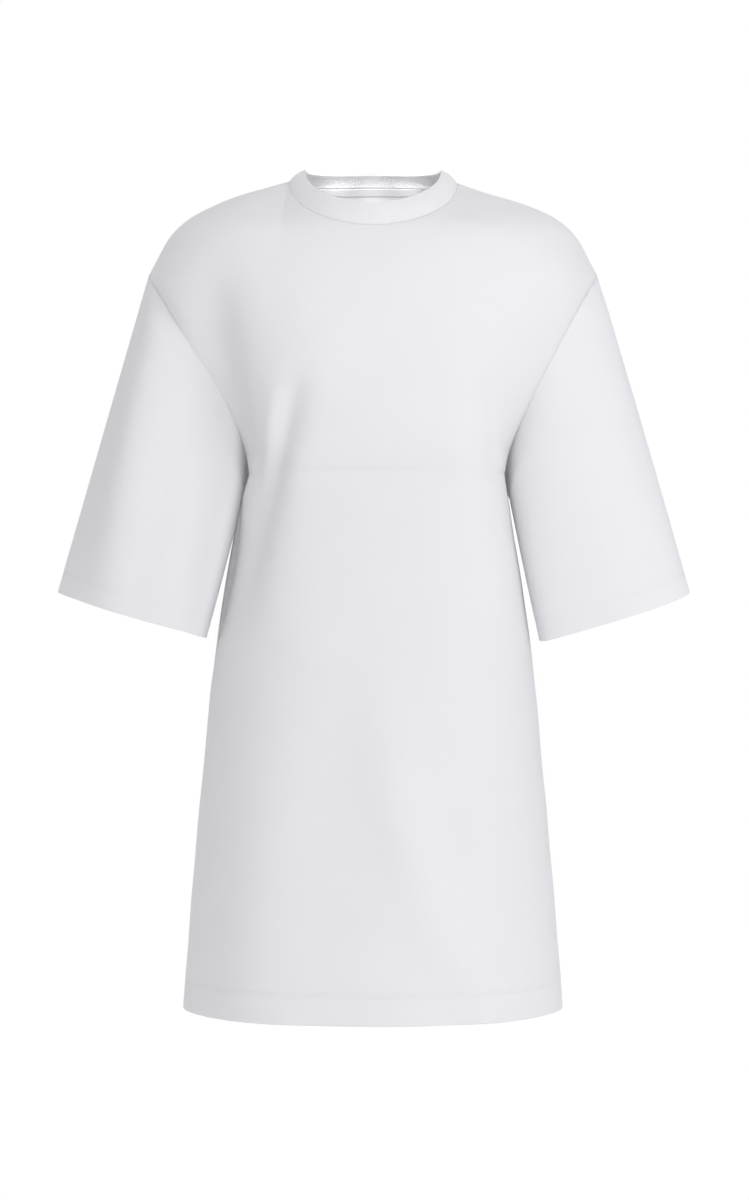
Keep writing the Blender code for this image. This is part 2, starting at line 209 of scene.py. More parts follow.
# Middle of each panel: level, distance from the seams' plane
MIDDLE_DEPTH = {
    FRONT: (
        (-0.858, 0.148),
        (-0.680, 0.134),
        (-0.520, 0.123),
        (-0.400, 0.120),
        (-0.270, 0.126),
        (-0.180, 0.122),
        (-0.107, 0.110),
        (-0.065, 0.090),
        (-0.050, 0.070),
        (-0.030, 0.038),
        (NECK_SIDE_LEVEL, 0.000),
    ),
    BACK: (
        (-0.858, 0.142),
        (-0.700, 0.132),
        (-0.560, 0.118),
        (-0.420, 0.104),
        (-0.300, 0.106),
        (-0.180, 0.116),
        (-0.107, 0.115),
        (-0.050, 0.104),
        (-0.030, 0.098),
        (NECK_SIDE_LEVEL, 0.086),
        (-0.003, 0.073),
    ),
}
# Level sections: level, spread of the broad curve, width of the turn to the edge, its squareness, and
# its closing, which is low where the cloth turns in sharply at the edge
SECTIONS = (
    (-0.858, 0.300, 0.165, 2.2, 0.46),
    (-0.600, 0.260, 0.134, 2.2, 0.40),
    (-0.420, 0.240, 0.100, 2.2, 0.26),
    (-0.350, 0.232, 0.082, 2.2, 0.22),
    (UNDERARM_LEVEL, 0.230, 0.064, 2.2, 0.21),
    (-0.285, 0.230, 0.064, 2.2, 0.60),
    (-0.245, 0.235, 0.088, 2.2, 0.88),
    (-0.190, 0.250, 0.108, 2.3, 0.85),
    (-0.140, 0.280, 0.150, 2.2, 0.52),
    (DROP_LEVEL, 0.300, 0.165, 2.4, 0.52),
    (-0.070, 0.320, 0.170, 2.4, 0.48),
    (-0.003, 0.330, 0.170, 2.4, 0.42),
)
# Creases of each panel: start out, level, bend out, level, end out, level, height, half width at its
# start, at its end
PANEL_CREASES = {
    FRONT: (
        (-0.160, -0.110, -0.168, -0.225, -0.124, -0.330, -0.0150, 0.028, 0.022),
        (-0.072, -0.220, -0.118, -0.335, -0.152, -0.490, -0.0160, 0.014, 0.027),
        (-0.092, -0.225, -0.105, -0.285, -0.122, -0.345, 0.0065, 0.011, 0.008),
        (-0.2142, -0.1332, -0.206, -0.143, -0.1985, -0.1514, -0.0010, 0.0030, 0.0020),
        (-0.058, -0.140, -0.060, -0.200, -0.052, -0.270, 0.0040, 0.035, 0.035),
        (0.150, -0.150, 0.140, -0.270, 0.122, -0.350, -0.0020, 0.028, 0.024),
        (0.104, -0.210, 0.116, -0.275, 0.135, -0.340, -0.0020, 0.009, 0.007),
        (0.119, -0.225, 0.126, -0.280, 0.137, -0.350, 0.0014, 0.008, 0.006),
        (0.010, -0.500, 0.010, -0.730, 0.170, -0.940, 0.0060, 0.030, 0.028),
        (0.075, -0.560, 0.060, -0.780, 0.100, -0.940, -0.0050, 0.036, 0.030),
        (-0.035, -0.500, -0.055, -0.709, -0.062, -0.960, -0.0045, 0.040, 0.045),
        (-0.110, -0.560, -0.120, -0.729, -0.132, -0.960, 0.0045, 0.040, 0.040),
    ),
    BACK: (
        (0.160, -0.120, 0.163, -0.240, 0.125, -0.335, -0.0090, 0.030, 0.025),
        (0.085, -0.240, 0.121, -0.345, 0.150, -0.490, -0.0080, 0.014, 0.026),
        (-0.152, -0.140, -0.140, -0.265, -0.120, -0.355, -0.0050, 0.030, 0.026),
        (-0.100, -0.225, -0.117, -0.290, -0.136, -0.345, -0.0020, 0.010, 0.007),
        (0.060, -0.440, 0.078, -0.669, 0.098, -0.960, 0.0050, 0.045, 0.045),
        (-0.045, -0.460, -0.058, -0.679, -0.073, -0.960, 0.0050, 0.045, 0.045),
        (0.005, -0.520, 0.008, -0.709, 0.010, -0.960, -0.0040, 0.040, 0.040),
    ),
}
CREASE_POINTS = 160
CREASE_ENDS = 0.02  # how much of its height a crease keeps at its two ends
CREASE_TAPER = 0.8  # below 1, a crease runs on at its full height for longer
# Rows of points over the hem, by their heights above its edge, and closest at the stitches
HEM_HEIGHTS = (
    *(0, 0.0012, 0.003, 0.006, 0.010, 0.015, 0.020, 0.0235, 0.0255),
    *(0.0265, 0.0275, 0.0285, 0.0295, 0.0305, 0.032, 0.034, 0.037),
)
SKIRT_ROWS = 96
SKIRT_CLOSING = 1.35  # above 1, the rows close up towards the underarm
YOKE_ROWS = 64
YOKE_EVENNESS = 0.2  # at 1 the rows are evenly spaced, and at 0 they close up at both ends
NECK_COLUMNS = 30
SIDE_COLUMNS = 40
SIDE_CLOSING = 1.4
SHOULDER_STEPS = 800  # for looking up a level on the shoulder seam
ROW_STEPS = 300  # for measuring half of a row
SEAM_DIP = 0.00014  # how far the cloth is drawn in at a seam
SEAM_DIP_WIDTH = 0.0040
HEM_ROWS = (0.0265, 0.0297)  # of stitches, above the hem's edge
HEM_DIP = 0.0003
HEM_DIP_WIDTH = 0.0012
HEM_RIPPLE = 0.00018  # between the stitches and the hem's edge
HEM_RIPPLE_PITCH = 0.016
HEM_RIPPLE_STRETCH = 0.3  # below 1, the ripples are longer up the cloth than along the hem
HEM_SLACK = 0.0005  # past the turned-up cloth
YOKE_LEAN = 0.0019  # how far the left shoulder sinks and the right one rises
YOKE_LEAN_RISE = 0.070  # above the armholes, where the lean is whole
YOKE_LEAN_OUT = 0.125
YOKE_LEAN_WIDTH = 0.045
UNEVENNESS = 0.0004  # of the jersey's fall
UNEVENNESS_PITCH = 0.090
WAVES = 5
WAVE_PITCHES = (0.7, 1.4)  # times the pitch
ARMHOLE_FULLNESS = {LEFT: 0.011, RIGHT: 0.005}  # how far the seam swells out half way up the armhole
ARMHOLE_FULLNESS_WIDTH = 0.040
ARMHOLE_FULLNESS_TAPER = 1.4


def curve_through(rows, at, column=1):
    """A smooth curve through a table's rows, by their first column, which goes past none of them."""
    rows = np.array(sorted(rows))
    place, value = rows[:, 0], rows[:, column]
    grade = np.diff(value) / np.diff(place)
    before, after = grade[:-1], grade[1:]
    same_way = before * after > 0
    slope = np.empty_like(value)
    slope[0], slope[-1] = grade[0], grade[-1]
    slope[1:-1] = np.where(same_way, 2 * before * after / np.where(same_way, before + after, 1), 0)
    at = np.clip(at, place[0], place[-1])
    i = np.clip(np.searchsorted(place, at, side="right") - 1, 0, len(place) - 2)
    length = place[i + 1] - place[i]
    t = (at - place[i]) / length
    return (
        value[i] * (1 + 2 * t) * (1 - t) ** 2
        + slope[i] * length * t * (1 - t) ** 2
        + value[i + 1] * t * t * (3 - 2 * t)
        + slope[i + 1] * length * t * t * (t - 1)
    )


def eased(share):
    """A share from 0 to 1 that sets off and arrives gently."""
    return share * share * (3 - 2 * share)


def shoulder_level(out):
    """The shoulder seam's level at a distance out."""
    levels = np.linspace(DROP_LEVEL, SHOULDER_LINE[-1][0], SHOULDER_STEPS)
    return np.interp(-out, -curve_through(SHOULDER_LINE, levels), levels)


def panel_edge(level, softness=0):
    """How far out and how deep a panel's edge lies at a level: side seam, armhole or shoulder seam.

    Softness rounds off the two ends of the armhole, for the cloth away from the seam.
    """
    rise = (level - UNDERARM_LEVEL) / (DROP_LEVEL - UNDERARM_LEVEL)
    armhole = UNDERARM_OUT + (DROP_OUT - UNDERARM_OUT) * np.clip(rise, 0, 1) ** ARMHOLE_CURVE
    bow = 4 * rise * (1 - rise)
    depth = ARMHOLE_HALF_DEPTH * np.sqrt((bow + np.sqrt(bow**2 + softness**2)) / 2)
    out = np.where(level > DROP_LEVEL, curve_through(SHOULDER_LINE, level), armhole)
    return np.where(level < UNDERARM_LEVEL, curve_through(SIDE_LINE, level), out), depth


def plain_depth(panel, out, level):
    """How far in front of or behind the seams' plane a panel lies, by its tables alone."""
    edge_out, _ = panel_edge(level)
    from_edge = np.maximum(0, edge_out - np.abs(out))
    _, edge_depth = panel_edge(level, EDGE_SOFTNESS * np.minimum(1, from_edge / EDGE_SOFT_WIDTH))
    spread, turn, squareness, closing = (curve_through(SECTIONS, level, n) for n in (1, 2, 3, 4))
    broad = np.maximum(0, 1 - (np.abs(out) / spread) ** FULLNESS_POWER) ** (1 / FULLNESS_POWER)
    turn = np.minimum(turn, edge_out)
    share = np.clip((np.abs(out) - edge_out + turn) / turn, 0, 1)
    towards_edge = (1 - share**squareness) ** closing
    middle = curve_through(MIDDLE_DEPTH[panel], level)
    return edge_depth + (middle * broad - edge_depth) * towards_edge


def on_panel(panel, out, level):
    """Points of a panel's outer face. The cloth runs smoothly past the two ends of the armhole."""
    edge_out, _ = panel_edge(level)
    from_underarm = np.hypot(np.maximum(0, UNDERARM_OUT - np.abs(out)), level - UNDERARM_LEVEL)
    from_drop = np.hypot(DROP_OUT - np.abs(out), level - DROP_LEVEL)
    from_edge = np.maximum(0, edge_out - np.abs(out))
    room = np.where(level < UNDERARM_LEVEL, np.minimum(from_underarm, SIDE_ROOM * from_edge), from_edge)
    room = np.where(level > DROP_LEVEL, from_drop, room)
    room = np.minimum(room, np.maximum(0, shoulder_level(np.abs(out)) - level))
    at_underarm = np.exp(-(((level - UNDERARM_LEVEL) / UNDERARM_BLEND) ** 2))
    at_drop = np.exp(-(((level - DROP_LEVEL) / DROP_BLEND) ** 2))
    reach = np.maximum(at_underarm, at_drop) * BLEND_SHARE * np.minimum(room, BLEND_ROOM)
    steps = np.linspace(-2, 2, BLEND_STEPS)
    weights = np.exp(-(steps**2) / 2)
    depth = sum(w * plain_depth(panel, out, level + step * reach) for step, w in zip(steps, weights))
    across = panel * (depth / weights.sum() + PANEL_GAP / 2)
    return np.stack(np.broadcast_arrays(out, across, level), axis=-1)


def neck_level(panel, out):
    """The neck seam's level at a distance out."""
    curve = np.sqrt(np.maximum(0, 1 - (out / NECK_OUT) ** 2))
    if panel == FRONT:
        return NECK_SIDE_LEVEL - NECK_FRONT_DROP * curve
    return NECK_SIDE_LEVEL + NECK_BACK_RISE * curve**2


def across_panel(panel, column, level, rise):
    """Points of one row. A column is 0 in the middle, a half at the neck's side and 1 at the edge."""
    neck_angle = math.asin(NECK_OUT / DROP_OUT)
    at_neck = np.arcsin(NECK_OUT / DROP_OUT * np.sin(math.pi * np.minimum(column, 0.5)))
    past_neck = neck_angle + (math.pi / 2 - neck_angle) * (2 * column - 1)
    top = np.where(column < 0.5, at_neck, past_neck)
    even = math.pi / 2 * column
    edge_out, _ = panel_edge(level + (DROP_LEVEL - level) * rise)
    out = edge_out * np.sin(even + (top - even) * rise)
    top_out = DROP_OUT * np.sin(top)
    top_level = np.where(column < 0.5, neck_level(panel, top_out), shoulder_level(top_out))
    return on_panel(panel, out, level + (top_level - level) * rise)


def unit(ways):
    """Directions, each made one long."""
    return ways / np.maximum(np.linalg.norm(ways, axis=-1, keepdims=True), 1e-12)


def ways_along(points, axis):
    """The direction of a grid of points along one of its axes, from the two steps beside each point."""
    steps = unit(np.diff(points, axis=axis))
    first, last = np.take(steps, [0], axis=axis), np.take(steps, [-1], axis=axis)
    return np.concatenate([first, steps], axis=axis) + np.concatenate([steps, last], axis=axis)


def settled(points):
    """The yoke leans a little on the right shoulder, so that seam lies higher than the left one."""
    out, level = points[..., 0], points[..., 2]
    share = np.clip((level - DROP_LEVEL) / YOKE_LEAN_RISE, 0, 1)
    lean = np.exp(-(((np.abs(out) - YOKE_LEAN_OUT) / YOKE_LEAN_WIDTH) ** 2)) * np.sign(out)
    leaning = points.copy()
    leaning[..., 2] -= YOKE_LEAN * share * lean
    return leaning


def lengths_along(points, axis):
    """The distance run along each row or column of a grid of points."""
    steps = np.linalg.norm(np.diff(points, axis=axis), axis=-1)
    start = np.zeros_like(np.take(steps, [0], axis=axis))
    return np.concatenate([start, np.cumsum(steps, axis=axis)], axis=axis)


def panel_points(panel):
    """A grid of points over a panel's outer face, evenly spaced along each row, and each row's rise."""
    heights = np.array(HEM_HEIGHTS)
    to_go = (1 - np.arange(1, SKIRT_ROWS + 1) / SKIRT_ROWS) ** SKIRT_CLOSING
    top_of_hem = HEM_LEVEL + heights[-1]
    skirt = UNDERARM_LEVEL + (top_of_hem - UNDERARM_LEVEL) * to_go
    rise = np.arange(1, YOKE_ROWS + 1) / YOKE_ROWS
    rise = YOKE_EVENNESS * rise + (1 - YOKE_EVENNESS) * eased(rise)
    levels = np.concatenate([HEM_LEVEL + heights, skirt, np.full(YOKE_ROWS, UNDERARM_LEVEL)])
    rises = np.concatenate([np.zeros(len(heights) + SKIRT_ROWS), rise])
    fine = np.linspace(0, 1, ROW_STEPS)
    near_neck, near_side = fine / 2, 1 - (1 - fine) ** 3 / 2
    even_steps = np.linspace(0, 1, NECK_COLUMNS + 1)
    closing_steps = 1 - (1 - np.linspace(0, 1, SIDE_COLUMNS + 1)) ** SIDE_CLOSING
    grid = []
    for level, rise in zip(levels, rises):
        columns = []
        for part, steps in ((near_neck, even_steps), (near_side, closing_steps[1:])):
            run = lengths_along(across_panel(panel, part, level, rise), 0)
            columns.append(np.interp(steps * run[-1], run, part))
        columns = np.concatenate(columns)
        half = across_panel(panel, columns, level, rise)
        other = half[:0:-1] * (-1, 1, 1)
        grid.append(np.concatenate([other, half]))
    return settled(np.array(grid)), rises


def along_crease(start, bend, end):
    """Points along a crease, which starts out towards its bend and then turns to its end."""
    t = np.linspace(0, 1, CREASE_POINTS)[:, None]
    return np.array(start) * (1 - t) ** 2 + np.array(bend) * 2 * t * (1 - t) + np.array(end) * t**2


def crease_heights(places, creases):
    """How far the creases move each place out, where a place is two coordinates in metres."""
    height = np.zeros(places.shape[:-1])
    for *line, peak, start_width, end_width in creases:
        points = along_crease(line[0:2], line[2:4], line[4:6])
        apart = np.linalg.norm(places[..., None, :] - points, axis=-1)
        along = apart.argmin(axis=-1) / (len(points) - 1)
        width = start_width + (end_width - start_width) * along
        bowed = 4 * (along + CREASE_ENDS) * (1 + CREASE_ENDS - along) / (1 + 2 * CREASE_ENDS)
        taper = bowed**CREASE_TAPER
        height += peak * taper * np.exp(-((apart.min(axis=-1) / width) ** 2))
    return height


def uneven(places, pitch, seed):
    """Gentle random rise and fall between -1 and 1, for what no hand lays quite even."""
    random = np.random.default_rng(seed)
    total = np.zeros(places.shape[:-1])
    for _ in range(WAVES):
        way = random.normal(size=places.shape[-1])
        way *= 2 * math.pi / pitch / np.linalg.norm(way) * random.uniform(*WAVE_PITCHES)
        total += np.sin(places @ way + random.uniform(0, 2 * math.pi))
    return total / WAVES


RIM_ANGLES = (45, 90, 135)  # round a rim, from the outer face to the inner one
RIM_ROOM = 0.45  # how much of the gap to the next row a round rim takes up at most


def quads(grid):
    """The four corners of each cell in a grid of numbers or places."""
    corners = [grid[:-1, :-1], grid[:-1, 1:], grid[1:, 1:], grid[1:, :-1]]
    return np.stack(corners, axis=2).reshape(-1, 4, *grid.shape[2:])


def border(grid):
    """What lies all round the edge of a grid, back to its first corner."""
    return np.concatenate([grid[0], grid[1:, -1], grid[-1, -2::-1], grid[-2::-1, 0]])


def make_piece(name, places, faces, pattern, material):
    """Makes a closed and smooth piece of cloth, with the places of its pattern on each face."""
    mesh = bpy.data.meshes.new(name)
    mesh.from_pydata(places.tolist(), [], faces.tolist())
    mesh.uv_layers.new(name="cloth").data.foreach_set("uv", pattern.reshape(-1))
    shape = bmesh.new()
    shape.from_mesh(mesh)
    bmesh.ops.recalc_face_normals(shape, faces=shape.faces)
    shape.to_mesh(mesh)
    shape.free()
    mesh.shade_smooth()
    mesh.materials.append(material)
    piece = bpy.data.objects.new(name, mesh)
    bpy.context.scene.collection.objects.link(piece)
    return piece


class Cloth:
    """A stretch of cloth: rows and columns of points on its outer face, rolled up if it is a tube."""

    def __init__(self, points, tube=False):
        self.points = points.copy()
        self.tube = tube
        wrapped = np.concatenate([points, points[:, :1]], axis=1) if tube else points
        self.up = lengths_along(wrapped, 0)
        self.along = lengths_along(wrapped, 1)

    def normals(self):
        """The outward direction at each point."""
        padded = self.points
        if self.tube:
            padded = np.concatenate([padded[:, -1:], padded, padded[:, :1]], axis=1)
        normals = np.cross(ways_along(padded, 1), ways_along(padded, 0))
        return unit(normals[:, 1:-1] if self.tube else normals)

    def push(self, height, level=False):
        """Moves the cloth outwards by a height, or only sideways where it faces up or down."""
        self.points += self.normals() * height[..., None] * ((1, 1, 0) if level else 1)

    def line_at(self, height):
        """The points at a height above the first row, and their outward directions."""
        columns = range(self.points.shape[1])
        line = []
        for grid in (self.points, self.normals()):
            found = [[np.interp(height, self.up[:, c], grid[:, c, n]) for n in range(3)] for c in columns]
            line.append(np.array(found))
        return line

    def rim_ways(self, thick, rims):
        """How far the round rims stand out from the rest of the cloth."""
        every = slice(None)
        edges = [((0,), (1,), rims[0]), ((-1,), (-2,), rims[1])]
        if not self.tube:
            edges += [((every, 0), (every, 1), rims[2]), ((every, -1), (every, -2), rims[2])]
        ways = np.zeros_like(self.points)
        for at_edge, beside, roundness in edges:
            way = self.points[at_edge] - self.points[beside]
            gap = np.linalg.norm(way, axis=-1, keepdims=True)
            ways[at_edge] += unit(way) * np.minimum(roundness * thick[at_edge], RIM_ROOM * gap)
        return ways

    def finish(self, name, thickness, material, rims=(0.5, 0, 0), rims_in_plane=None):
        """Makes the piece: the outer face, an inner face one thickness in, and the rims between them.

        Rims are how round the first row, the last row and the sides are, up to a half. A rim in the
        plane keeps its thickness in the plane of the seams, so that the two panels' rims lie together.
        """
        rows, columns = self.points.shape[:2]
        normals = self.normals()
        if rims_in_plane is not None:
            normals[..., 1] = np.where(rims_in_plane, 0, normals[..., 1])
            normals = unit(normals)
        thick = np.broadcast_to(np.asarray(thickness)[:, None], (rows, columns))[..., None]
        rim_ways = self.rim_ways(thick, rims)
        outer = self.points - rim_ways
        inner = outer - normals * thick
        middle = (outer + inner) / 2
        places = [outer.reshape(-1, 3), inner.reshape(-1, 3)]
        count = 2 * rows * columns
        wide = columns + 1 if self.tube else columns
        row_of, column_of = np.indices((rows, wide))
        number = row_of * columns + column_of % columns
        inner_number = number + rows * columns
        spread = np.stack([self.along, self.up], axis=-1)
        faces = [quads(number), quads(inner_number)[:, ::-1]]
        pattern = [quads(spread), quads(spread)[:, ::-1]]
        if self.tube:
            loops = [(row_of[0], column_of[0]), (row_of[-1, ::-1], column_of[-1, ::-1])]
        else:
            loops = [(border(row_of), border(column_of))]
        for ring_rows, ring_columns in loops:
            closed = len(ring_rows) - 1
            at = (ring_rows[:closed], ring_columns[:closed] % columns)
            half = normals[at] * thick[at] / 2
            stages = [number[at]]
            for angle in RIM_ANGLES:
                turn = math.radians(angle)
                places.append(middle[at] + half * math.cos(turn) + rim_ways[at] * math.sin(turn))
                stages.append(np.arange(count, count + closed))
                count += closed
            stages = np.array([*stages, inner_number[at]])
            faces.append(quads(np.concatenate([stages, stages[:, :1]], axis=1))[:, ::-1])
            rim = spread[ring_rows, ring_columns]
            pattern.append(quads(np.broadcast_to(rim, (len(stages), *rim.shape)))[:, ::-1])
        places, faces, pattern = (np.concatenate(parts) for parts in (places, faces, pattern))
        return make_piece(name, places, faces, pattern, material)


class Value:
    """A value in a cloth's node tree, so that a pattern is written as a plain sum."""

    def __init__(self, socket):
        self.socket = socket

    def node(self, kind, settings, inputs, output=0):
        """Adds a node to the same tree, fed with values, and gives one of its outputs."""
        fed = {}
        for name, given in inputs.items():
            fed[name] = given.socket if isinstance(given, Value) else given
        return Value(add_node(self.socket.id_data, kind, settings, fed)[output])

    def combine(self, operation, first, second=0.0):
        """One step of a sum, on values or plain numbers."""
        return self.node("ShaderNodeMath", {"operation": operation}, {0: first, 1: second})

    def __add__(self, other):
        return self.combine("ADD", self, other)

    def __sub__(self, other):
        return self.combine("SUBTRACT", self, other)

    def __mul__(self, other):
        return self.combine("MULTIPLY", self, other)

    def __truediv__(self, other):
        return self.combine("DIVIDE", self, other)

    __radd__ = __add__
    __rmul__ = __mul__

    def __rsub__(self, other):
        return self.combine("SUBTRACT", other, self)

    def __rtruediv__(self, other):
        return self.combine("DIVIDE", other, self)

    def fraction(self):
        return self.combine("FRACT", self)

    def size(self):
        return self.combine("ABSOLUTE", self)

    def cosine(self):
        return self.combine("COSINE", self)

    def noise(self, pitch, detail=2.0):
        """Random rise and fall around a half, over a length in metres."""
        return self.node("ShaderNodeTexNoise", {}, {"Vector": self, "Scale": 1 / pitch, "Detail": detail})

    def mix(self, low, high):
        """A colour between two, by this value."""
        colours = {0: self, 6: (*low, 1.0), 7: (*high, 1.0)}
        return self.node("ShaderNodeMix", {"data_type": "RGBA"}, colours, output=2)


COTTON_SPECULAR = 0.25
COTTON_ROUGHNESS = 0.84
ROUGHNESS_CHANGE = 0.08
ROUGHNESS_PITCH = 0.020
SHEEN_ROUGHNESS = 0.5
TINT_PITCH = 0.035  # of the faint change from a cloth's low colour to its high one
TINT_DETAIL = 4.0


class ClothFinish:
    """A cloth's material in the making, and the places that its pattern is worked out from."""

    def __init__(self, name, low, high, sheen, let_through):
        self.material = bpy.data.materials.new(name)
        self.material.use_nodes = True
        tree = self.material.node_tree
        self.shader = tree.nodes["Principled BSDF"]
        self.shader.inputs["Metallic"].default_value = 0.0
        self.shader.inputs["Specular IOR Level"].default_value = COTTON_SPECULAR
        self.shader.inputs["Sheen Weight"].default_value = sheen
        self.shader.inputs["Sheen Roughness"].default_value = SHEEN_ROUGHNESS
        middle = [(a + b) / 2 for a, b in zip(low, high)]
        behind = add_node(tree, "ShaderNodeBsdfTranslucent", inputs={"Color": (*middle, 1)})
        both = add_node(
            tree,
            "ShaderNodeMixShader",
            inputs={"Fac": let_through, 1: self.shader.outputs["BSDF"], 2: behind["BSDF"]},
        )
        tree.links.new(both["Shader"], tree.nodes["Material Output"].inputs["Surface"])
        places = add_node(tree, "ShaderNodeTexCoord")
        pattern = add_node(tree, "ShaderNodeSeparateXYZ", inputs={0: places["UV"]})
        self.place = Value(places["Object"])
        self.along, self.up = Value(pattern[0]), Value(pattern[1])
        self.feed("Base Color", self.place.noise(TINT_PITCH, TINT_DETAIL).mix(low, high))
        self.feed("Roughness", self.place.noise(ROUGHNESS_PITCH) * ROUGHNESS_CHANGE + COTTON_ROUGHNESS)

    def feed(self, socket, value):
        """Links a value to one of the shader's sockets."""
        self.material.node_tree.links.new(value.socket, self.shader.inputs[socket])

    def raise_by(self, height):
        """Bumps the surface by a height in metres."""
        bump = {"Strength": 1.0, "Distance": 1.0, "Height": height}
        self.feed("Normal", height.node("ShaderNodeBump", {}, bump))


WALE = 0.0011  # width of a column of knitted stitches
COURSE = 0.0009  # height of a row of them
LOOP_SLANT = 0.6  # how many rows a stitch's two legs rise by
LOOP_DEPTH = 0.3  # how much of the knit's height shows each stitch
KNIT_HEIGHT = 0.00007
FUZZ_HEIGHT = 0.00005
FUZZ_PITCH = 0.0016
RUMPLE_HEIGHT = 0.00025
RUMPLE_PITCH = 0.050
JERSEY_LOW = (0.935, 0.930, 0.935)
JERSEY_HIGH = (0.960, 0.955, 0.960)


def knit_height(finish):
    """The plain side of single jersey: columns of small nested Vs."""
    from_middle = ((finish.along / WALE).fraction() - 0.5).size() * 2
    loop = ((finish.up / COURSE + from_middle * LOOP_SLANT) * (2 * math.pi)).cosine()
    return (1 - from_middle * from_middle) * ((1 - LOOP_DEPTH) + LOOP_DEPTH * loop) * KNIT_HEIGHT


jersey = ClothFinish("cotton_jersey", JERSEY_LOW, JERSEY_HIGH, sheen=0.12, let_through=0.36)
fuzz = jersey.place.noise(FUZZ_PITCH) * FUZZ_HEIGHT
jersey.raise_by(knit_height(jersey) + fuzz + jersey.place.noise(RUMPLE_PITCH) * RUMPLE_HEIGHT)


def seam_dip(distance):
    """How far a seam draws the cloth in, at a distance from it."""
    return -SEAM_DIP * np.exp(-((distance / SEAM_DIP_WIDTH) ** 2))


def hem_pull(up, along, lines, turn_up, seed):
    """How far a hem's stitches draw the cloth in, with the ripples between them and its edge."""
    drawn_in = sum(np.exp(-(((up - line) / HEM_DIP_WIDTH) ** 2)) for line in lines)
    ripples = uneven(np.stack([along, up * HEM_RIPPLE_STRETCH], axis=-1), HEM_RIPPLE_PITCH, seed)
    return HEM_RIPPLE * ripples * np.sqrt(np.clip(1 - up / turn_up, 0, 1)) - HEM_DIP * drawn_in


panels = {}
armhole_edges = {}
neck_edges = {}
hem_lines = {}
neck_start, neck_end = SIDE_COLUMNS, SIDE_COLUMNS + 2 * NECK_COLUMNS
for panel, node in ((FRONT, "front_panel"), (BACK, "back_panel")):
    points, rises = panel_points(panel)
    if panel == BACK:
        points = points[:, ::-1]
    cloth = Cloth(points)
    places = cloth.points[..., (0, 2)]
    fall = UNEVENNESS * uneven(places, UNEVENNESS_PITCH, seed=4 + panel)
    cloth.push(crease_heights(places, PANEL_CREASES[panel]) + fall, level=True)
    from_side = np.minimum(cloth.along, cloth.along[:, -1:] - cloth.along)
    fullness = np.where(places[..., 0] > 0, ARMHOLE_FULLNESS[LEFT], ARMHOLE_FULLNESS[RIGHT])
    up_armhole = np.sin(math.pi * rises)[:, None] ** ARMHOLE_FULLNESS_TAPER
    across_armhole = np.exp(-((from_side / ARMHOLE_FULLNESS_WIDTH) ** 2))
    cloth.points[..., 1] += panel * fullness * across_armhole * up_armhole
    smooth = cloth.points.copy()
    from_top = np.where(rises[:, None] > 0, cloth.up[-1:] - cloth.up, np.inf)
    hem = hem_pull(cloth.up, cloth.along, HEM_ROWS, HEM_TURN_UP, seed=21)
    cloth.push(seam_dip(np.minimum(from_side, from_top)) + hem)
    # The sleeves and the collar start from these edges, and are drawn in with them.
    drawn = np.stack([smooth, cloth.points - smooth])
    yoke = rises > 0
    armhole_edges[panel] = {-panel: drawn[:, yoke, -1], panel: drawn[:, yoke, 0]}
    neck_edges[panel] = drawn[:, -1, neck_start : neck_end + 1]
    hem_lines[panel] = [cloth.line_at(height) for height in HEM_ROWS]
    thickness = np.where(cloth.up[:, neck_start] < HEM_TURN_UP + HEM_SLACK, 2 * JERSEY, JERSEY)
    at_seam = np.zeros(points.shape[:2], bool)
    at_seam[rises == 0, 0] = at_seam[rises == 0, -1] = True
    at_seam[-1, : neck_start + 1] = at_seam[-1, neck_end:] = True
    panels[panel] = cloth.finish(node + "_jersey", thickness, jersey.material, rims_in_plane=at_seam)
    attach(panels[panel], "root")
    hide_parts(node)


# ---- Sleeves ------------------------------------------------------------------------------------
# Two wide elbow-length sleeves of the same jersey, each a tube sewn round its armhole while the
# shoulders hang off the neck. The last 2.2 cm is turned up inside and held by two rows of stitches.

CUFF_MIDDLE = (0.2485, 0, -0.4544)
CUFF_TO_OUTSIDE = (0.0760, 0, 0.0226)
CUFF_HALF_DEPTH = 0.066
CUFF_TURN_UP = 0.022
CUFF_POWERS = (0.5, 1.0)  # the half beside the body is squarer than the outer one
CUFF_FRONT_DIP = {LEFT: 0.006, RIGHT: 0.001}
SLEEVE_FULLNESS = 0.011  # to the front and back, half way down
INNER_FOLD_LEAN = 0.25  # how much the side beside the body leans in at its front, and out at its back
INNER_FOLD_HOLLOW = 0.004  # how far that side is pressed away from the body
INNER_FOLD_SPREAD = 0.7  # cosine of the turn from that side's middle, within which the lean is whole
INNER_FOLD_START = 0.2  # share of the way down, below which the lean is whole
CREASE_START = 0.030  # below the armhole, where the creases reach their full height
CUFF_ROWS = (0.0185, 0.0217)
CUFF_HEIGHTS = (
    *(0, 0.0012, 0.003, 0.006, 0.010, 0.014, 0.0165, 0.0175),
    *(0.0185, 0.0195, 0.0207, 0.0217, 0.0227, 0.024, 0.026, 0.029),
)
SLEEVE_ROWS = 62
SEAM_STEPS = (0.0075, 0.0050, 0.0032, 0.0020, 0.0010, 0)  # from the armhole's seam
